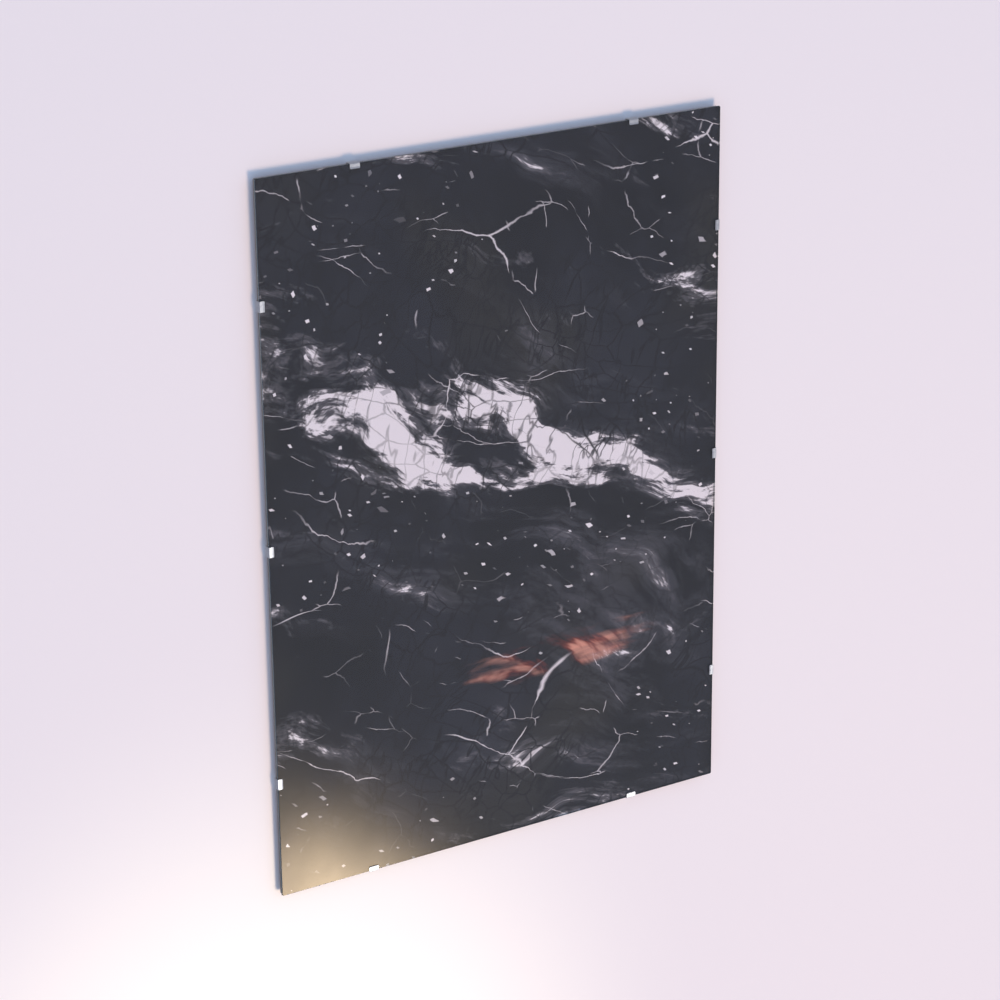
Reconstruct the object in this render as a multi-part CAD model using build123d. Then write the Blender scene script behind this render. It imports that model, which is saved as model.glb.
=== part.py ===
from build123d import *
import os

# A clip frame for one picture, in millimetres: spring clips hold a glass, the picture and a board together.
# The front faces -Y and up is +Z. The origin is on the wall, behind the middle notch of the upper hanger.

# Glass, picture and board
panel_width = 500.0
panel_height = 700.0
glass_thickness = 2.0
glass_corner = 1.0
glass_arris = 0.3
picture_thickness = 0.25
picture_inset = 0.1
board_thickness = 3.0
board_inset = 0.5
board_corner_radius = 1.5

# Room between the board and the wall, kept by two pads at the lower corners
wall_gap = 4.75
pad_diameter = 14.0
pad_rim = 0.6
pad_inset = 32.0

# Spring clips, each bent from one strip of steel
clip_width = 10.2
clip_steel = 0.5
clip_travel = 7.0
lip_overlap = 4.6
lip_flare_run = 1.5
lip_flare_rise = 0.3
lip_corner_radius = 0.9
web_clearance = 0.3
heel_rise = 1.1
seat_reach = 8.0
toe_reach = 19.2
toe_depth = 1.8
toe_flank_run = 0.9
toe_floor_run = 2.2
tab_ramp_run = 4.1
tab_rise = 2.3
tab_end_run = 4.0
tab_end_rise = 0.5
tab_width = 8.0
tab_corner_radius = 2.2
tight_bend_radius = 0.5
heel_bend_radius = 3.0
toe_bend_radius = 1.1
tab_bend_radius = 2.0
bead_length = 9.0
bead_width = 2.6
bead_height = 0.35
bead_slope_angle = 35
window_clearance = 0.6

# Places of the clips, as shares of the edge's length from its middle
end_clip_share = 0.3
side_clip_share = 1 / 3

# Hangers: a joggled plate with notches in its lower edge, one for each way up
hanger_inset = 48.0
hanger_steel = 0.8
hanger_height = 10.0
hanger_lift = 3.0
hanger_ramp_run = 2.0
hanger_ear_length = 11.0
hanger_ear_radius = 3.0
hanger_bend_radius = 0.8
notch_count = 9
notch_pitch = 3.0
notch_depth = 1.6
notch_land = 0.6
notch_margin = 2.0

# Hollow rivets that hold the hangers
rivet_bore_radius = 1.1
rivet_wall = 0.5
rivet_head_radius = 3.0
rivet_head_thickness = 0.6
rivet_flange_run = 0.9
rivet_flange_recess = 0.7
rivet_clearance = 0.1

# How far a cutter runs past the face that it opens
overrun = 1.0

half_width = panel_width / 2
half_height = panel_height / 2
quarter_turn = 90
board_front = wall_gap + board_thickness
picture_front = board_front + picture_thickness
grip = board_thickness + picture_thickness + glass_thickness
toe_ramp_run = tab_ramp_run * toe_depth / (toe_depth + tab_rise)
toe_end = toe_reach + toe_flank_run + toe_floor_run + toe_ramp_run
rivet_radius = rivet_bore_radius + rivet_wall
rivet_flange_radius = rivet_radius + rivet_flange_run
rivet_flange_seat = rivet_flange_recess - board_thickness
hanger_raised_length = notch_count * notch_pitch + 2 * notch_margin
hanger_half_length = hanger_raised_length / 2 + hanger_ramp_run + hanger_ear_length
rivet_place = hanger_half_length - hanger_ear_length / 2
hanger_middle = (hanger_height - notch_depth) / 2

# The middle of the board's back, from which each clip, hanger and pad is placed
board_back = Pos(0, -wall_gap, hanger_inset - half_height)


def edge_place(quarters, reach, along):
    """A place on the board's back at an edge, with X pointing out of the panel and Y to the wall."""
    return board_back * Rot(0, quarters * quarter_turn, 0) * Pos(reach, 0, along)


end_clip_place = end_clip_share * panel_width
side_clip_place = side_clip_share * panel_height
clip_places = {
    "clip_top_left": edge_place(-1, half_height, end_clip_place),
    "clip_top_right": edge_place(-1, half_height, -end_clip_place),
    "clip_right_upper": edge_place(0, half_width, side_clip_place),
    "clip_right_middle": edge_place(0, half_width, 0),
    "clip_right_lower": edge_place(0, half_width, -side_clip_place),
    "clip_bottom_right": edge_place(1, half_height, end_clip_place),
    "clip_bottom_left": edge_place(1, half_height, -end_clip_place),
    "clip_left_lower": edge_place(2, half_width, side_clip_place),
    "clip_left_middle": edge_place(2, half_width, 0),
    "clip_left_upper": edge_place(2, half_width, -side_clip_place),
}

# Up on a hanger's plate is +Z, and its notches end at zero
hanger_places = {
    "hanger_portrait": board_back * Pos(0, 0, half_height - hanger_inset),
    "hanger_landscape": board_back * Rot(0, -quarter_turn, 0) * Pos(0, 0, half_width - hanger_inset),
}

# Both rivets of a plate, on the board's back
rivet_pair = [Pos(side * rivet_place, 0, hanger_middle) for side in (-1, 1)]
rivet_places = [place * rivet for place in hanger_places.values() for rivet in rivet_pair]

pad_places = {
    "wall_pad_left": board_back * Pos(pad_inset - half_width, 0, pad_inset - half_height),
    "wall_pad_right": board_back * Pos(half_width - pad_inset, 0, pad_inset - half_height),
}


def sheet(distance_from_wall, inset, thickness):
    """A rectangle as large as the panel less the inset, built forwards from its rear face."""
    with BuildPart() as part:
        with BuildSketch(Plane.XZ.offset(distance_from_wall)):
            with Locations((0, board_back.position.Z)):
                Rectangle(panel_width - 2 * inset, panel_height - 2 * inset)
        extrude(amount=thickness)
    return part.part


def glass_pane():
    """Float glass with its corners dubbed and its edges ground."""
    pane = sheet(picture_front, 0, glass_thickness)
    pane = chamfer(pane.edges().filter_by(Axis.Y), glass_corner)
    faces = pane.faces().filter_by(Axis.Y)
    return chamfer(faces.edges(), glass_arris)


def clip_window():
    """The window that one clip's toe runs in, as a cutter in the clip's own frame."""
    inner = toe_end + window_clearance
    outer = toe_reach - clip_travel - window_clearance
    with BuildPart() as window:
        with BuildSketch(Plane.XZ):
            with Locations((-(inner + outer) / 2, 0)):
                Rectangle(inner - outer, clip_width + 2 * window_clearance)
        extrude(amount=board_thickness + overrun)
        extrude(window.faces().sort_by(Axis.Y)[-1], amount=overrun)
    return window.part


def rivet_hole():
    """The hole for one rivet, with the recess that its rolled flange lies in, as a cutter."""
    shank = rivet_radius + rivet_clearance
    flange = rivet_flange_radius + rivet_clearance
    with BuildPart() as hole:
        with BuildSketch():
            with BuildLine():
                Polyline(
                    (0, overrun),
                    (shank, overrun),
                    (shank, rivet_flange_seat),
                    (flange, rivet_flange_seat),
                    (flange, -board_thickness - overrun),
                    (0, -board_thickness - overrun),
                    close=True,
                )
            make_face()
        revolve(axis=Axis.Y)
    return hole.part


def back_board():
    """Hardboard with a window for each clip's toe and a hole for each rivet."""
    board = sheet(wall_gap, board_inset, board_thickness)
    board = fillet(board.edges().filter_by(Axis.Y), board_corner_radius)
    window = clip_window()
    hole = rivet_hole()
    cutters = [place * window for place in clip_places.values()]
    cutters += [place * hole for place in rivet_places]
    return board - cutters


def around_tongue(tip, root, width, radius):
    """What lies beside and beyond a tongue that ends at tip in rounded corners, as far as its root."""
    with BuildSketch(Plane.XZ) as around:
        with Locations((tip - overrun, 0)):
            Rectangle(root - tip + overrun, clip_width + overrun, align=(Align.MIN, Align.CENTER))
        with BuildSketch(Plane.XZ, mode=Mode.SUBTRACT) as tongue:
            with Locations((tip, 0)):
                Rectangle(root - tip + overrun, width, align=(Align.MIN, Align.CENTER))
            fillet(tongue.vertices().group_by(Axis.X)[0], radius)
    return around.sketch


def spring_clip():
    """One clip, closed: X points out from the glass's edge, and Y from the board's back to the wall."""
    toe_floor_start = -toe_reach - toe_flank_run
    toe_floor_end = toe_floor_start - toe_floor_run
    tab_start = toe_floor_end - tab_ramp_run
    tab_tip = tab_start - tab_end_run
    inner_side = (
        (-lip_overlap, -grip - lip_flare_rise),
        (lip_flare_run - lip_overlap, -grip),
        (web_clearance, -grip),
        (web_clearance, heel_rise),
        (-seat_reach, 0),
        (-toe_reach, 0),
        (toe_floor_start, -toe_depth),
        (toe_floor_end, -toe_depth),
        (tab_start, tab_rise),
        (tab_tip, tab_rise + tab_end_rise),
    )
    bends = (
        heel_bend_radius,
        tight_bend_radius,
        tight_bend_radius,
        heel_bend_radius,
        tight_bend_radius,
        toe_bend_radius,
        toe_bend_radius,
        tab_bend_radius,
    )
    lip = around_tongue(-lip_overlap, 0, clip_width, lip_corner_radius)
    tab = around_tongue(tab_tip, -toe_end, tab_width, tab_corner_radius)
    seat_middle = (-(seat_reach + toe_reach) / 2, 0)
    with BuildPart() as clip:
        with BuildSketch():
            with BuildLine():
                FilletPolyline(*inner_side, radius=bends)
                offset(amount=clip_steel, side=Side.RIGHT)
            make_face()
        extrude(amount=clip_width / 2, both=True)
        extrude(lip, amount=grip + lip_flare_rise + clip_steel, mode=Mode.SUBTRACT)
        extrude(tab, amount=-wall_gap, mode=Mode.SUBTRACT)
        # A bead along the seat, pressed towards the wall, stiffens the leg
        with BuildSketch(Plane.XZ.offset(-clip_steel)):
            with Locations(seat_middle):
                Rectangle(bead_length, bead_width)
        extrude(amount=-bead_height, taper=bead_slope_angle)
        with BuildSketch(Plane.XZ):
            with Locations(seat_middle):
                Rectangle(bead_length - clip_steel, bead_width - clip_steel)
        extrude(amount=-bead_height, taper=bead_slope_angle, mode=Mode.SUBTRACT)
    return clip.part


def hanger():
    """The plate: joggled towards the wall, so that a nail's head fits between it and the board."""
    raised = hanger_raised_length / 2
    board_side = (
        (-hanger_half_length, 0),
        (-raised - hanger_ramp_run, 0),
        (-raised, hanger_lift),
        (raised, hanger_lift),
        (raised + hanger_ramp_run, 0),
        (hanger_half_length, 0),
    )
    inner = hanger_bend_radius
    outer = hanger_bend_radius + hanger_steel
    with BuildPart() as plate:
        with BuildSketch(Plane.XY.offset(-notch_depth)):
            with BuildLine():
                FilletPolyline(*board_side, radius=(outer, inner, inner, outer))
                offset(amount=hanger_steel, side=Side.LEFT)
            make_face()
        extrude(amount=hanger_height + notch_depth)
        fillet(plate.edges().filter_by(Axis.Y).group_by(Axis.X)[0], hanger_ear_radius)
        fillet(plate.edges().filter_by(Axis.Y).group_by(Axis.X)[-1], hanger_ear_radius)
        with BuildSketch(Plane.XZ):
            with GridLocations(notch_pitch, 0, notch_count, 1):
                Polygon(
                    (notch_land - notch_pitch, -2 * notch_depth),
                    (0, 0),
                    (notch_pitch - notch_land, -2 * notch_depth),
                    align=None,
                )
            with Locations(*[(side * rivet_place, hanger_middle) for side in (-1, 1)]):
                Circle(rivet_radius + rivet_clearance)
        extrude(amount=-wall_gap, mode=Mode.SUBTRACT)
    return plate.part


def hollow_rivet():
    """A rivet with its head on the hanger and its far end rolled over in the board's recess."""
    head = hanger_steel + rivet_head_thickness
    flange_end = rivet_flange_seat - rivet_wall
    with BuildPart() as rivet:
        with BuildSketch():
            with BuildLine():
                Polyline(
                    (rivet_bore_radius, head),
                    (rivet_head_radius, head),
                    (rivet_head_radius, hanger_steel),
                    (rivet_radius, hanger_steel),
                    (rivet_radius, rivet_flange_seat),
                    (rivet_flange_radius, rivet_flange_seat),
                    (rivet_flange_radius, flange_end),
                    (rivet_bore_radius, flange_end),
                    close=True,
                )
            make_face()
        revolve(axis=Axis.Y)
    return rivet.part


def wall_pad():
    """A self-adhesive pad, as thick as the room behind the board."""
    with BuildPart() as pad:
        with BuildSketch(Plane.XZ):
            Circle(pad_diameter / 2)
        extrude(amount=-wall_gap)
        chamfer(pad.faces().sort_by(Axis.Y)[-1].edges(), pad_rim)
    return pad.part


def build():
    """Every node's shape, by name."""
    nodes = {
        "glass_pane": glass_pane(),
        "art_print": sheet(board_front, picture_inset, picture_thickness),
        "back_board": back_board(),
    }
    clip = spring_clip()
    for name, place in clip_places.items():
        nodes[name] = place * clip
    plate = hanger()
    for name, place in hanger_places.items():
        nodes[name] = place * plate
    rivet = hollow_rivet()
    nodes["hanger_rivets"] = Compound([place * rivet for place in rivet_places])
    pad = wall_pad()
    for name, place in pad_places.items():
        nodes[name] = place * pad
    return nodes


os.makedirs("parts", exist_ok=True)
for node_name, shape in build().items():
    export_step(shape, f"parts/{node_name}.step")
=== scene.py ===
import math

import bmesh
import bpy
from mathutils import Matrix, Vector, noise


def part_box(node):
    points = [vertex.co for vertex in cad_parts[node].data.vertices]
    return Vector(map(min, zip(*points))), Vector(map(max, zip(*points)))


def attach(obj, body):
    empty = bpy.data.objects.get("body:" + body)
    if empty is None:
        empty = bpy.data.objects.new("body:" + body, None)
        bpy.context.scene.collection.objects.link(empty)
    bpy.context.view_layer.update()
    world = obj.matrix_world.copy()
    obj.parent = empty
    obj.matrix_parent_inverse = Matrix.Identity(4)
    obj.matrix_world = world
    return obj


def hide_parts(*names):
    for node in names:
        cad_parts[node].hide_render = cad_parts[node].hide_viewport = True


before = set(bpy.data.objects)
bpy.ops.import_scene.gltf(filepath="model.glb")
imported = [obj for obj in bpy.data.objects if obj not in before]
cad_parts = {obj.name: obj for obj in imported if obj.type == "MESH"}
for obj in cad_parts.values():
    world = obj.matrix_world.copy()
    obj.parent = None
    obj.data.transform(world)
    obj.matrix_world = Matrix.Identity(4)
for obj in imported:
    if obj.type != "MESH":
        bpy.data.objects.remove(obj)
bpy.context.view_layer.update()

# The clip frame on its wall, in metres: the front faces -Y, and the wall is at y = 0

# Camera, solved from the corners of the panel in the photograph
CAMERA_PLACE = (-1.45919, -2.36848, 0.71672)
CAMERA_RIGHT = (0.84861744, -0.52890087, -0.01059755)
CAMERA_DOWN = (-0.19070921, -0.28718283, -0.93869911)
CAMERA_FORWARD = (0.49343534, 0.79861749, -0.34457462)
FOCAL_LENGTH_SHARE = 3.1036
SENSOR_WIDTH = 36.0

# Light: a warm lamp low in front, the cool light of the room, and two lamps behind for the back
LAMP_PLACE = (0.42, -2.8, -1.78)
LAMP_AIM = (0.0, 0.0, -0.4)
LAMP_DIAMETER = 1.15
LAMP_POWER = 5.9
LAMP_COLOUR = (1.0, 0.631, 0.404)
ROOM_COLOUR = (0.445, 0.56, 0.79)
MIRRORED_ROOM_COLOUR = (0.302, 0.318, 0.392)
BACK_LAMP_DIRECTION = (0.10, -1.0, -0.16)
BACK_LAMP_STRENGTH = 1.9
BACK_LAMP_COLOUR = (1.0, 0.86, 0.70)
BACK_LAMP_ANGLE = 0.3
BACK_GLEAM_STRENGTH = 0.35

# A soft pool of the same lamp's light on the wall, at the lower left
POOL_AIM = (-0.27, 0.0, -0.945)
POOL_ANGLE = 17.2
POOL_SOFTNESS = 0.13
POOL_POWER = 17.0
POOL_COLOUR = (1.05, 1.0, 0.68)

# The low lamp as shiny surfaces answer to it: highlights on the clips, and a haze low on the glass
GLEAM_PLACE = (1.017, -2.2, -2.082)
GLEAM_AIM = (-0.25, 0.0, -0.65)
GLEAM_DIAMETER = 0.12
GLEAM_POWER = 3.55
GLEAM_COLOUR = (1.0, 0.97, 0.93)

# Stage
WALL_COLOUR = "#ededee"
BACKGROUND_COLOUR = "#e8dde8"
WALL_PLACE = 0.0002
WALL_HALF_WIDTH = 4.0
WALL_TOP = 3.0
FLOOR_HEIGHT = -2.2
FLOOR_HALF_SIZE = 12.0
FLOOR_LIFT_COLOUR = (0.50, 0.38, 0.34)

# Glass: one mirroring face stands for the pane's two, so the index is above that of glass
GLASS_INDEX = 1.75
GLASS_TINT = (0.985, 0.995, 0.99, 1)
GLASS_FILM_COLOUR = "#ffe4bf"
GLASS_FILM_ROUGHNESS = 0.183
GLASS_FILM_SHARES = (0.0120, 0.0152)
GLASS_EDGE_COLOURS = ("#5c6466", "#858c90")
GLASS_EDGE_ROUGHNESS = (0.35, 0.6)
GLASS_EDGE_SHARE = 0.6
GLASS_MIRRORED_COLOUR = (0.80, 0.86, 0.84, 1)
GLASS_BEVEL_COLOUR = (0.05, 0.06, 0.06, 1)
GLASS_WITHIN_ROUGHNESS = 0.12

# How far a surface of the glass faces forwards: from this on it counts as bevel or as flat face
BEVEL_FACING = (0.3, 0.6)
FACE_FACING_INSIDE = 0.98
FACE_FACING_OUTSIDE = 0.60

# Other materials, each as a darker and a paler colour, or a smoother and a rougher finish
PAPER_COLOURS = ("#dfddd8", "#f2f1ee")
PAPER_ROUGHNESS = (0.6, 0.8)
BOARD_COLOURS = ("#4c3322", "#8b6546")
BOARD_BLOTCH_COLOUR = "#6b4a30"
BOARD_FLECK_COLOUR = "#2e1e13"
BOARD_SAWN_COLOUR = "#857b71"
BOARD_SCREEN_COLOUR = "#a57f5c"
BOARD_ROUGHNESS = (0.62, 0.85)
# How much darker the board is for light bouncing off it: painted shade standing in for the wall's shade
BOARD_PAINTED_SHADE = 0.45
STEEL_COLOURS = ("#d0d0d4", "#eeeeef")
STEEL_ROUGHNESS = (0.38, 0.46)
ZINC_COLOURS = ("#9fa3a8", "#c9ccd0")
ZINC_ROUGHNESS = (0.3, 0.46)
BRASS_COLOURS = ("#a3864a", "#d4b978")
BRASS_ROUGHNESS = (0.25, 0.4)
RUBBER_COLOURS = ("#1b1b1d", "#36363a")
RUBBER_ROUGHNESS = (0.55, 0.75)
BLACK = (0, 0, 0, 1)
WHITE = (1, 1, 1, 1)

# The print
PRINT_CLEARANCE = 0.00003
PRINT_THICKNESS = 0.00019
PRINT_COCKLE = 0.00002
PRINT_COCKLE_SCALE = 9.0
PRINT_CELL = 0.0125
PRINT_GRAIN_SLOPE = math.radians(24)
PRINT_BELT_HEIGHT = -0.215
PRINT_BELT_HALF_WIDTH = 0.085
PRINT_STAIN_PLACE = (0.075, -0.475)
PRINT_STAIN_SIZE = (0.118, 0.024)
PRINT_STAIN_SLOPE = math.radians(-8)
GROUND_COLOURS = ("#10131b", "#262933")
OLIVE_COLOUR = "#2c2c29"
VEIL_COLOUR = "#5d5e68"
CLOUDY_QUARTZ_COLOUR = "#7d7c84"
QUARTZ_COLOUR = "#ece8ee"
SPLINTER_COLOUR = "#181a20"
VEIN_COLOUR = "#dedae0"
RUST_COLOURS = ("#8c3527", "#e0a08c")
FLAKE_COLOUR = "#bdbac0"
PRINT_ROUGHNESS = (0.55, 0.65)
PRINT_SHINE = 0.1


def linear(code):
    """A colour written as in a drawing program, as the linear colour that a shader takes."""
    shares = [int(code[i:i + 2], 16) / 255 for i in (1, 3, 5)]
    values = [s / 12.92 if s <= 0.04045 else ((s + 0.055) / 1.055) ** 2.4 for s in shares]
    return (*values, 1.0)


class Look:
    """One procedural material, with short ways to add nodes to it."""

    def __init__(self, name):
        self.material = bpy.data.materials.new(name)
        self.material.use_nodes = True
        self.tree = self.material.node_tree
        self.tree.nodes.clear()

    def node(self, kind, inputs=None, **settings):
        """A node of that kind, with its settings made and its inputs set or linked."""
        made = self.tree.nodes.new("ShaderNode" + kind)
        for name, value in settings.items():
            setattr(made, name, value)
        for name, value in (inputs or {}).items():
            if isinstance(value, bpy.types.NodeSocket):
                self.tree.links.new(value, made.inputs[name])
            else:
                made.inputs[name].default_value = value
        return made

    def math(self, operation, first, second=0.0):
        return self.node("Math", {0: first, 1: second}, operation=operation).outputs[0]

    def blend(self, share, first, second):
        """The colour between two colours."""
        return self.node("Mix", {"Factor": share, 6: first, 7: second}, data_type="RGBA").outputs[2]

    def range(self, share, colours):
        """The colour between the two of a pair of codes."""
        return self.blend(share, linear(colours[0]), linear(colours[1]))

    def between(self, share, low, high, to_low=0.0, to_high=1.0):
        """A value moved smoothly from one range to another."""
        inputs = {"Value": share, 1: low, 2: high, 3: to_low, 4: to_high}
        return self.node("MapRange", inputs, interpolation_type="SMOOTHSTEP").outputs[0]

    def place(self, scale=(1, 1, 1)):
        """The point on the piece, in its own metres, then scaled."""
        point = self.node("TexCoord").outputs["Object"]
        return self.node("Mapping", {"Vector": point, "Scale": scale}).outputs[0]

    def noise(self, vector, scale, detail=2.0, roughness=0.5, dimensions="3D"):
        inputs = {"Vector": vector, "Scale": scale, "Detail": detail, "Roughness": roughness}
        return self.node("TexNoise", inputs, noise_dimensions=dimensions).outputs

    def cells(self, vector, scale):
        """A value of its own for each cell of a crystal pattern."""
        cell = self.node("TexVoronoi", {"Vector": vector, "Scale": scale}).outputs["Color"]
        return self.node("SeparateColor", {0: cell}).outputs[0]

    def bump(self, height, strength, distance):
        inputs = {"Height": height, "Strength": strength, "Distance": distance}
        return self.node("Bump", inputs).outputs[0]

    def side(self, axis):
        """How far the surface faces along an axis of the piece, from -1 to 1."""
        normal = self.node("TexCoord").outputs["Normal"]
        return self.node("SeparateXYZ", {0: normal}).outputs[axis]

    def finish(self, shader):
        out = self.node("OutputMaterial")
        self.tree.links.new(shader, out.inputs["Surface"])
        return self.material


def glass_look():
    """Clear float glass: what is behind shows through, and both faces mirror the room."""
    look = Look("clear_glass")
    facing = look.math("ABSOLUTE", look.side("Y"))
    outer = look.math("SUBTRACT", 1.0, look.node("NewGeometry").outputs["Backfacing"])
    clear = look.node("BsdfTransparent", {"Color": GLASS_TINT}).outputs[0]
    gloss = look.node("BsdfAnisotropic", {"Color": WHITE, "Roughness": 0.0}).outputs[0]
    mirror = look.node("Fresnel", {"IOR": GLASS_INDEX}).outputs[0]
    inputs = {"Fac": look.math("MULTIPLY", mirror, outer), 1: clear, 2: gloss}
    faces = look.node("MixShader", inputs).outputs[0]

    # A thin film of dust and wiping marks spreads a little of the light
    smear = look.noise(look.place(), scale=14.0, detail=4.0)[0]
    inputs = {"Color": linear(GLASS_FILM_COLOUR), "Roughness": GLASS_FILM_ROUGHNESS}
    film = look.node("BsdfAnisotropic", inputs, distribution="BECKMANN").outputs[0]
    share = look.math("MULTIPLY", look.between(smear, 0.3, 0.7, *GLASS_FILM_SHARES), outer)
    faces = look.node("MixShader", {"Fac": share, 1: faces, 2: film}).outputs[0]

    # The ground edge is matt and half clear
    grain = look.noise(look.place(), scale=900.0, detail=3.0)[0]
    inputs = {"Base Color": look.range(grain, GLASS_EDGE_COLOURS)}
    inputs["Roughness"] = look.between(grain, 0.3, 0.7, *GLASS_EDGE_ROUGHNESS)
    inputs["Normal"] = look.bump(grain, 0.4, 0.0001)
    edge = look.node("BsdfPrincipled", inputs).outputs[0]
    edge = look.node("MixShader", {"Fac": GLASS_EDGE_SHARE, 1: clear, 2: edge}).outputs[0]

    # From inside the pane the edge mirrors what lies behind, and its bevels are dark
    bevel = look.between(facing, *BEVEL_FACING)
    inputs = {"Color": look.blend(bevel, GLASS_MIRRORED_COLOUR, GLASS_BEVEL_COLOUR)}
    inputs["Roughness"] = GLASS_WITHIN_ROUGHNESS
    within = look.node("BsdfAnisotropic", inputs).outputs[0]
    edge = look.node("MixShader", {"Fac": outer, 1: within, 2: edge}).outputs[0]

    # Seen from outside, the bevels are as clear as the faces
    least = look.math("MULTIPLY", outer, FACE_FACING_INSIDE - FACE_FACING_OUTSIDE)
    least = look.math("SUBTRACT", FACE_FACING_INSIDE, least)
    flat = look.math("GREATER_THAN", facing, least)
    return look.finish(look.node("MixShader", {"Fac": flat, 1: edge, 2: faces}).outputs[0])


class Drawing(Look):
    """A look drawn on the flat print, so that all its textures have two dimensions."""

    def noise(self, vector, scale, detail=2.0, roughness=0.5, dimensions="2D"):
        return super().noise(vector, scale, detail, roughness, dimensions)

    def moved(self, vector, shift=(0, 0), scale=(1, 1), turn=0.0):
        inputs = {"Vector": vector, "Location": (*shift, 0), "Rotation": (0, 0, turn), "Scale": (*scale, 1)}
        return self.node("Mapping", inputs).outputs[0]

    def bent(self, vector, scale, amount, detail):
        """A point pushed about by a noise."""
        drift = self.noise(vector, scale, detail)["Color"]
        drift = self.node("VectorMath", {0: drift, 1: (0.5, 0.5, 0.5)}, operation="SUBTRACT").outputs[0]
        drift = self.node("VectorMath", {0: drift, "Scale": amount}, operation="SCALE").outputs[0]
        return self.node("VectorMath", {0: vector, 1: drift}, operation="ADD").outputs[0]

    def line(self, value, width):
        """Lines where a value passes its middle."""
        away = self.math("ABSOLUTE", self.math("SUBTRACT", value, 0.5))
        return self.between(away, 0.0, width, 1.0, 0.0)

    def cracks(self, vector, scale, width):
        """Lines along the borders of cells."""
        inputs = {"Vector": vector, "Scale": scale}
        cell = self.node("TexVoronoi", inputs, voronoi_dimensions="2D", feature="DISTANCE_TO_EDGE").outputs
        return self.between(cell["Distance"], 0.0, width, 1.0, 0.0)

    def layer(self, share, under, code):
        return self.blend(share, under, linear(code))

    def both(self, first, second):
        return self.math("MULTIPLY", first, second)


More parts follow.
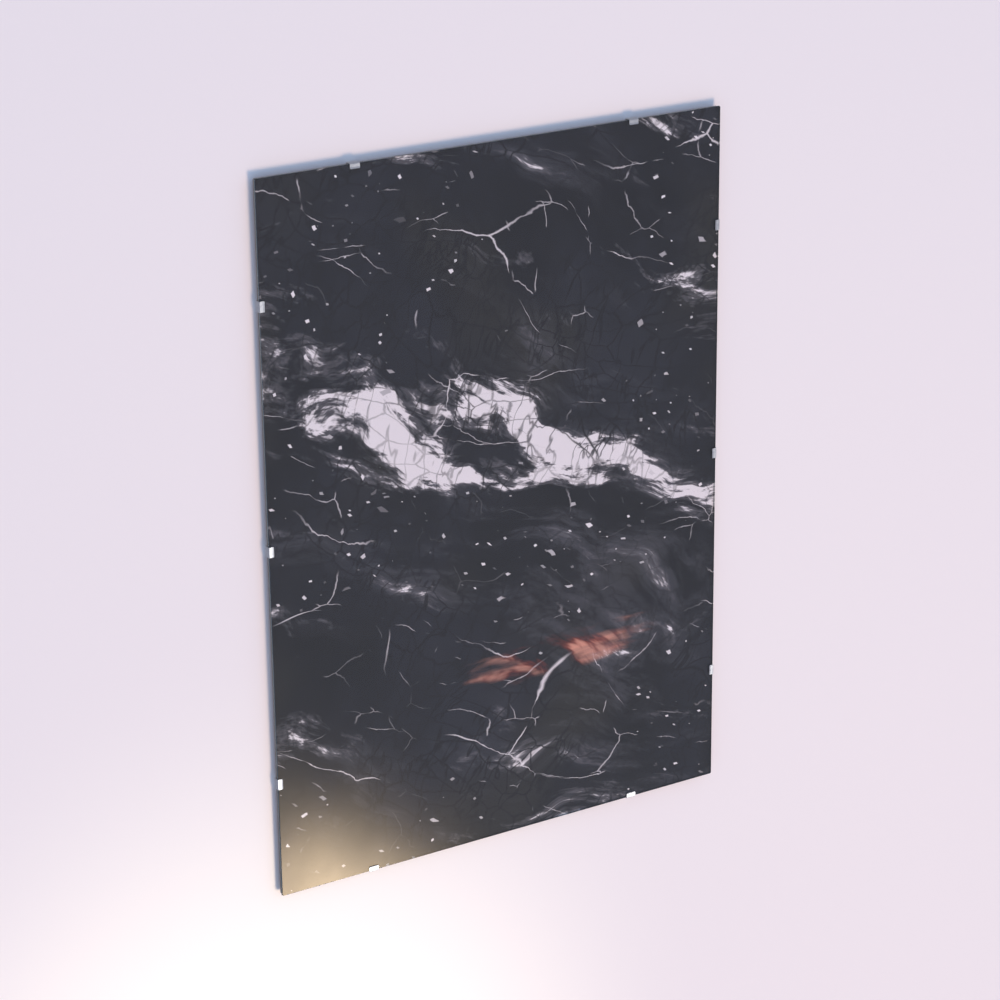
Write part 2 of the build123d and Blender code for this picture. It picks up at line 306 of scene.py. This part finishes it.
def artwork_look():
    """A generic print: a slab of dark slate with a belt of pale quartz, veins and mineral flakes."""
    art = Drawing("stone_print")
    parts = art.node("SeparateXYZ", {0: art.node("TexCoord").outputs["Object"]}).outputs
    sheet = art.node("CombineXYZ", {0: parts[0], 1: parts[2]}).outputs[0]
    along = art.moved(sheet, turn=PRINT_GRAIN_SLOPE)
    bent = art.bent(along, scale=4.0, amount=0.13, detail=3.0)
    rough = art.bent(art.bent(along, 6.0, 0.10, 1.0), scale=45.0, amount=0.010, detail=4.0)
    drawn = art.moved(bent, scale=(0.30, 1.0))

    # Ground
    cloud = art.noise(bent, scale=5.0, detail=3.0, roughness=0.6)[0]
    colour = art.range(art.between(cloud, 0.32, 0.7), GROUND_COLOURS)
    olive = art.noise(art.moved(along, (5, 1)), scale=6.0, detail=1.0)[0]
    colour = art.layer(art.between(olive, 0.5, 0.75, 0.0, 0.7), colour, OLIVE_COLOUR)

    # The belt of quartz, with a veil beside it
    off_belt = art.math("SUBTRACT", art.node("SeparateXYZ", {0: bent}).outputs[1], PRINT_BELT_HEIGHT)
    belt = art.between(art.math("ABSOLUTE", off_belt), 0.0, PRINT_BELT_HALF_WIDTH, -0.095, 0.095)
    streak = art.noise(art.moved(drawn, (3.7, 2.4)), scale=17.0, detail=6.0, roughness=0.68)[0]
    streak = art.math("SUBTRACT", streak, belt)
    veil = art.noise(art.moved(drawn, (8, 4)), scale=7.0, detail=3.0, roughness=0.6)[0]
    veil = art.both(art.between(veil, 0.48, 0.70), art.between(streak, 0.34, 0.52, 0.0, 0.4))
    colour = art.layer(veil, colour, VEIL_COLOUR)
    colour = art.layer(art.between(streak, 0.49, 0.60, 0.0, 0.55), colour, CLOUDY_QUARTZ_COLOUR)
    colour = art.layer(art.between(streak, 0.565, 0.61), colour, QUARTZ_COLOUR)

    # Dark splinters across the quartz
    steep = art.moved(bent, scale=(1.0, 0.35), turn=math.radians(60))
    splinters = art.line(art.noise(steep, scale=30.0, detail=3.0, roughness=0.6)[0], width=0.03)
    level = art.moved(rough, (3, 5), (0.6, 1.0), math.radians(20))
    splinters = art.math("MAXIMUM", splinters, art.cracks(level, scale=40.0, width=0.05))
    splinters = art.both(splinters, art.between(cloud, 0.40, 0.56, 0.4, 0.95))
    colour = art.layer(splinters, colour, SPLINTER_COLOUR)

    # Veins away from the belt: cracks that open, thin out and break off
    rise = art.noise(art.moved(along, (2, 2)), scale=5.5, detail=2.0)[0]
    swell = art.noise(art.moved(along, (4, 7)), scale=15.0, detail=3.0)[0]
    width = art.between(swell, 0.42, 0.70, 0.003, 0.015)
    fine = art.cracks(art.moved(rough, scale=(0.34, 1.0)), scale=12.0, width=width)
    fine = art.both(art.both(fine, art.between(swell, 0.42, 0.50)), art.between(rise, 0.48, 0.58))
    hair = art.cracks(art.moved(rough, (1, 3), (0.5, 1.0), math.radians(-38)), scale=22.0, width=0.014)
    broken = art.noise(art.moved(along, (9, 3)), scale=24.0, detail=2.0)[0]
    hair = art.both(hair, art.between(broken, 0.53, 0.62, 0.0, 0.7))
    hair = art.both(hair, art.between(rise, 0.44, 0.58, 0.1, 1.0))
    colour = art.layer(art.math("MAXIMUM", fine, hair), colour, VEIN_COLOUR)

    # A rust stain
    off_stain = art.moved(sheet, tuple(-value for value in PRINT_STAIN_PLACE))
    off_stain = art.moved(off_stain, scale=[1 / size for size in PRINT_STAIN_SIZE], turn=PRINT_STAIN_SLOPE)
    off_stain = art.bent(off_stain, scale=1.6, amount=1.5, detail=3.0)
    reach = art.node("VectorMath", {0: off_stain}, operation="LENGTH").outputs[1]
    speck = art.noise(drawn, scale=30.0, detail=4.0, roughness=0.65)[0]
    stain = art.both(art.between(reach, 0.1, 0.95, 0.9, 0.0), art.between(speck, 0.44, 0.60))
    colour = art.blend(stain, colour, art.range(art.between(speck, 0.52, 0.66), RUST_COLOURS))

    # Flakes, large and small, thicker where they crowd
    crowd = art.noise(art.moved(along, (1, 6)), scale=5.0, detail=2.0)[0]
    ragged = art.bent(art.moved(along, scale=(0.8, 1.3)), scale=40.0, amount=0.016, detail=1.0)
    large = (30, 1.0, 0.80, 0.17, FLAKE_COLOUR)
    small = (75, 1.05, 0.66, 0.24, QUARTZ_COLOUR)
    for scale, sparse, dense, size, code in (large, small):
        inputs = {"Vector": ragged, "Scale": scale}
        cell = art.node("TexVoronoi", inputs, voronoi_dimensions="2D", distance="MANHATTAN").outputs
        chance = art.node("SeparateColor", {0: cell["Color"]}).outputs
        picked = art.math("GREATER_THAN", chance[0], art.between(crowd, 0.36, 0.66, sparse, dense))
        inside = art.math("SUBTRACT", art.math("MULTIPLY", chance[1], size), cell["Distance"])
        flake = art.both(art.between(inside, 0.0, 0.05), picked)
        flake = art.both(flake, art.between(chance[2], 0.0, 0.9, 0.1, 1.0))
        colour = art.layer(flake, colour, code)
    inputs = {"Base Color": colour, "Roughness": art.between(cloud, 0.3, 0.7, *PRINT_ROUGHNESS)}
    inputs["Specular IOR Level"] = PRINT_SHINE
    return art.finish(art.node("BsdfPrincipled", inputs).outputs[0])


def paper_look():
    """The white side of the print's paper."""
    look = Look("white_paper")
    fibres = look.noise(look.place(), scale=700.0, detail=6.0)[0]
    inputs = {"Base Color": look.range(fibres, PAPER_COLOURS)}
    inputs["Roughness"] = look.between(fibres, 0.3, 0.7, *PAPER_ROUGHNESS)
    return look.finish(look.node("BsdfPrincipled", inputs).outputs[0])


def hardboard_look():
    """Brown hardboard: fibres all through, and the print of a wire screen on its back."""
    look = Look("brown_hardboard")
    point = look.place()
    fibres = look.noise(look.place(scale=(1.0, 1.0, 1.6)), scale=520.0, detail=8.0, roughness=0.65)[0]
    blotch = look.noise(point, scale=22.0, detail=4.0)[0]
    colour = look.range(look.between(fibres, 0.3, 0.7), BOARD_COLOURS)
    blotch = look.between(blotch, 0.35, 0.7, 0.0, 0.45)
    colour = look.blend(blotch, colour, linear(BOARD_BLOTCH_COLOUR))
    flecks = look.math("GREATER_THAN", look.cells(point, scale=380.0), 0.9)
    colour = look.blend(look.math("MULTIPLY", flecks, 0.55), colour, linear(BOARD_FLECK_COLOUR))

    # The sawn edge is greyer than the faces
    sawn = look.between(look.math("ABSOLUTE", look.side("Y")), 0.3, 0.7, 0.8, 0.0)
    colour = look.blend(sawn, colour, linear(BOARD_SAWN_COLOUR))

    # The screen's print, on the back alone
    wave = {"Vector": point, "Scale": 105.0, "Distortion": 0.6, "Detail": 1.0}
    across = look.node("TexWave", wave, bands_direction="X").outputs[1]
    down = look.node("TexWave", wave, bands_direction="Z").outputs[1]
    screen = look.math("MULTIPLY", across, down)
    screen = look.math("MULTIPLY", screen, look.between(look.side("Y"), 0.5, 0.9))
    colour = look.blend(look.math("MULTIPLY", screen, 0.25), colour, linear(BOARD_SCREEN_COLOUR))

    # Painted shade: for light bouncing off it, the board's colour is darkened. This stands in for the
    # wall's shade on its back, so that little of its brown reaches the wall
    painted_shade = look.math("MULTIPLY", look.node("LightPath").outputs["Is Diffuse Ray"], BOARD_PAINTED_SHADE)
    colour = look.blend(painted_shade, colour, BLACK)
    height = look.math("ADD", screen, look.math("MULTIPLY", fibres, 0.5))
    inputs = {"Base Color": colour, "Roughness": look.between(fibres, 0.3, 0.7, *BOARD_ROUGHNESS)}
    inputs["Normal"] = look.bump(height, 0.6, 0.00025)
    return look.finish(look.node("BsdfPrincipled", inputs).outputs[0])


def metal_look(name, colours, roughness, crystals, dent):
    """Plated metal: clouded plating, crystal or tumbling marks of one size, and fine dents."""
    look = Look(name)
    point = look.place()
    cloud = look.noise(point, scale=160.0, detail=4.0)[0]
    marks = look.cells(point, crystals)
    share = look.math("ADD", look.math("MULTIPLY", cloud, 0.6), look.math("MULTIPLY", marks, 0.4))
    fine = look.noise(point, scale=2600.0, detail=5.0)[0]
    inputs = {"Base Color": look.range(share, colours), "Metallic": 1.0}
    inputs["Roughness"] = look.between(share, 0.2, 0.8, *roughness)
    inputs["Normal"] = look.bump(look.math("ADD", fine, cloud), 0.35, dent)
    return look.finish(look.node("BsdfPrincipled", inputs).outputs[0])


def rubber_look():
    """Matt black rubber with a fine moulded grain."""
    look = Look("black_rubber")
    grain = look.noise(look.place(), scale=1500.0, detail=4.0)[0]
    inputs = {"Base Color": look.range(grain, RUBBER_COLOURS)}
    inputs["Roughness"] = look.between(grain, 0.3, 0.7, *RUBBER_ROUGHNESS)
    inputs["Normal"] = look.bump(grain, 0.4, 0.00008)
    return look.finish(look.node("BsdfPrincipled", inputs).outputs[0])


def dress(node, material):
    """Gives a CAD node its material."""
    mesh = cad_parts[node].data
    mesh.materials.clear()
    mesh.materials.append(material)


def link(name, data):
    made = bpy.data.objects.new(name, data)
    bpy.context.scene.collection.objects.link(made)
    return made


def art_sheet():
    """The print: a thin sheet that cockles a little between the glass and the board."""
    low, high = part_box("art_print")
    columns = round((high.x - low.x) / PRINT_CELL)
    rows = round((high.z - low.z) / PRINT_CELL)
    mesh = bmesh.new()
    layers = []
    for depth in (0.0, PRINT_THICKNESS):
        layer = []
        for row in range(rows + 1):
            z = low.z + (high.z - low.z) * row / rows
            line = []
            for column in range(columns + 1):
                x = low.x + (high.x - low.x) * column / columns
                swell = noise.noise(Vector((x, 0, z)) * PRINT_COCKLE_SCALE)
                y = low.y + PRINT_CLEARANCE + PRINT_COCKLE * (1 + swell) / 2 + depth
                line.append(mesh.verts.new((x, y, z)))
            layer.append(line)
        layers.append(layer)
    front, back = layers
    for row in range(rows):
        for column in range(columns):
            across, up = column + 1, row + 1
            near = (front[row][column], front[row][across], front[up][across], front[up][column])
            far = (back[row][column], back[up][column], back[up][across], back[row][across])
            mesh.faces.new(near)
            mesh.faces.new(far).material_index = 1
    left = [[line[0] for line in layer] for layer in layers]
    right = [[line[-1] for line in layer] for layer in layers]
    bottom = [layer[0] for layer in layers]
    top = [layer[-1] for layer in layers]
    for near, far in (left, right, bottom, top):
        for i in range(len(near) - 1):
            mesh.faces.new((near[i], near[i + 1], far[i + 1], far[i])).material_index = 1
    bmesh.ops.recalc_face_normals(mesh, faces=mesh.faces)
    for face in mesh.faces:
        face.smooth = face.material_index == 0
    for edge in mesh.edges:
        edge.smooth = edge.link_faces[0].material_index == edge.link_faces[-1].material_index
    data = bpy.data.meshes.new("picture_print")
    mesh.to_mesh(data)
    mesh.free()
    data.materials.append(artwork_look())
    data.materials.append(paper_look())
    sheet = link("picture_print", data)
    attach(sheet, "panel")
    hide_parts("art_print")


def plate(name, corners, look):
    """A flat four-cornered piece of the stage."""
    data = bpy.data.meshes.new(name)
    data.from_pydata(corners, [], [range(len(corners))])
    data.materials.append(look)
    made = link(name, data)
    return made


def stage():
    """The wall, which only its front side and only the camera sees, and the floor."""
    look = Look("wall_paint")
    paint = look.node("BsdfDiffuse", {"Color": linear(WALL_COLOUR)}).outputs[0]
    behind = look.node("NewGeometry").outputs["Backfacing"]
    inputs = {"Fac": behind, 1: paint, 2: look.node("BsdfTransparent").outputs[0]}
    material = look.finish(look.node("MixShader", inputs).outputs[0])
    x, y = WALL_HALF_WIDTH, WALL_PLACE
    corners = [(-x, y, FLOOR_HEIGHT), (x, y, FLOOR_HEIGHT), (x, y, WALL_TOP), (-x, y, WALL_TOP)]
    wall = plate("wall", corners, material)
    wall.visible_diffuse = wall.visible_glossy = wall.visible_transmission = wall.visible_shadow = False

    look = Look("floor_paint")
    paint = look.node("BsdfDiffuse", {"Color": linear(WALL_COLOUR)}).outputs[0]
    seen = look.node("LightPath").outputs["Is Camera Ray"]
    inputs = {"Color": (*FLOOR_LIFT_COLOUR, 1), "Strength": seen}
    lift = look.node("Emission", inputs).outputs[0]
    material = look.finish(look.node("AddShader", {0: paint, 1: lift}).outputs[0])
    s, z = FLOOR_HALF_SIZE, FLOOR_HEIGHT
    floor = plate("floor", [(-s, -s, z), (s, -s, z), (s, s, z), (-s, s, z)], material)
    floor.visible_shadow = floor.visible_glossy = False


def lamp(name, kind, place, aim, power, colour):
    """A lamp whose light doesn't fall off, like a further one's, and that no mirror shows as a disk."""
    data = bpy.data.lights.new(name, kind)
    data.energy = power
    data.color = colour
    data.cycles.use_multiple_importance_sampling = False
    data.use_nodes = True
    tree = data.node_tree
    even = tree.nodes.new("ShaderNodeLightFalloff")
    even.inputs["Strength"].default_value = 1.0
    tree.links.new(even.outputs["Constant"], tree.nodes["Emission"].inputs["Strength"])
    made = link(name, data)
    made.location = place
    made.rotation_euler = (Vector(aim) - Vector(place)).to_track_quat("-Z", "Y").to_euler()
    made.visible_camera = False
    return made


def lamps():
    """The low lamp in three parts, for matt surfaces, the pool and the shine, and the lamps behind."""
    low = lamp("low_lamp", "AREA", LAMP_PLACE, LAMP_AIM, LAMP_POWER, LAMP_COLOUR)
    low.data.shape = "DISK"
    low.data.size = LAMP_DIAMETER
    low.visible_glossy = False

    pool = lamp("pool_lamp", "SPOT", LAMP_PLACE, POOL_AIM, POOL_POWER, POOL_COLOUR)
    pool.data.spot_size = math.radians(POOL_ANGLE)
    pool.data.spot_blend = 1.0
    pool.data.shadow_soft_size = POOL_SOFTNESS
    pool.visible_glossy = False

    gleam = lamp("gleam_lamp", "AREA", GLEAM_PLACE, GLEAM_AIM, GLEAM_POWER, GLEAM_COLOUR)
    gleam.data.shape = "DISK"
    gleam.data.size = GLEAM_DIAMETER
    gleam.visible_diffuse = False

    # One lamp behind for matt surfaces, and a weaker one for the shine of the metal
    for name, strength in (("back_lamp", BACK_LAMP_STRENGTH), ("back_gleam_lamp", BACK_GLEAM_STRENGTH)):
        data = bpy.data.lights.new(name, "SUN")
        data.energy = strength
        data.color = BACK_LAMP_COLOUR
        data.angle = BACK_LAMP_ANGLE
        back = link(name, data)
        back.rotation_euler = Vector(BACK_LAMP_DIRECTION).to_track_quat("-Z", "Y").to_euler()
        back.visible_glossy = name == "back_gleam_lamp"
        back.visible_diffuse = name == "back_lamp"


def room():
    """The room's cool light, and the pale background that the camera sees in its place."""
    world = bpy.data.worlds.new("room")
    bpy.context.scene.world = world
    world.use_nodes = True
    world.cycles.sampling_method = "NONE"
    tree = world.node_tree
    tree.nodes.clear()
    path = tree.nodes.new("ShaderNodeLightPath")
    light = tree.nodes.new("ShaderNodeBackground")
    light.inputs["Color"].default_value = (*ROOM_COLOUR, 1)
    for ray, colour in (
        ("Is Glossy Ray", (*MIRRORED_ROOM_COLOUR, 1)),
        ("Is Camera Ray", linear(BACKGROUND_COLOUR)),
    ):
        other = tree.nodes.new("ShaderNodeBackground")
        other.inputs["Color"].default_value = colour
        mixed = tree.nodes.new("ShaderNodeMixShader")
        tree.links.new(path.outputs[ray], mixed.inputs["Fac"])
        tree.links.new(light.outputs[0], mixed.inputs[1])
        tree.links.new(other.outputs[0], mixed.inputs[2])
        light = mixed
    out = tree.nodes.new("ShaderNodeOutputWorld")
    tree.links.new(light.outputs[0], out.inputs["Surface"])


def camera():
    data = bpy.data.cameras.new("camera")
    data.sensor_width = SENSOR_WIDTH
    data.lens = FOCAL_LENGTH_SHARE * SENSOR_WIDTH
    made = link("camera", data)
    right, up = Vector(CAMERA_RIGHT), -Vector(CAMERA_DOWN)
    turn = Matrix((right, up, -Vector(CAMERA_FORWARD))).transposed()
    made.matrix_world = Matrix.Translation(CAMERA_PLACE) @ turn.to_4x4()
    bpy.context.scene.camera = made


bpy.context.scene.view_settings.view_transform = "Standard"
stage()
lamps()
room()
camera()

steel = metal_look("plated_spring_steel", STEEL_COLOURS, STEEL_ROUGHNESS, crystals=700.0, dent=0.00002)
zinc = metal_look("zinc_plate", ZINC_COLOURS, ZINC_ROUGHNESS, crystals=260.0, dent=0.00002)
brass = metal_look("brass_plate", BRASS_COLOURS, BRASS_ROUGHNESS, crystals=900.0, dent=0.00001)
hardboard = hardboard_look()
rubber = rubber_look()
dress("glass_pane", glass_look())
dress("back_board", hardboard)
dress("hanger_rivets", brass)
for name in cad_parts:
    if name.startswith("clip_"):
        dress(name, steel)
    elif name.startswith("hanger_") and name != "hanger_rivets":
        dress(name, zinc)
    elif name.startswith("wall_pad_"):
        dress(name, rubber)
art_sheet()
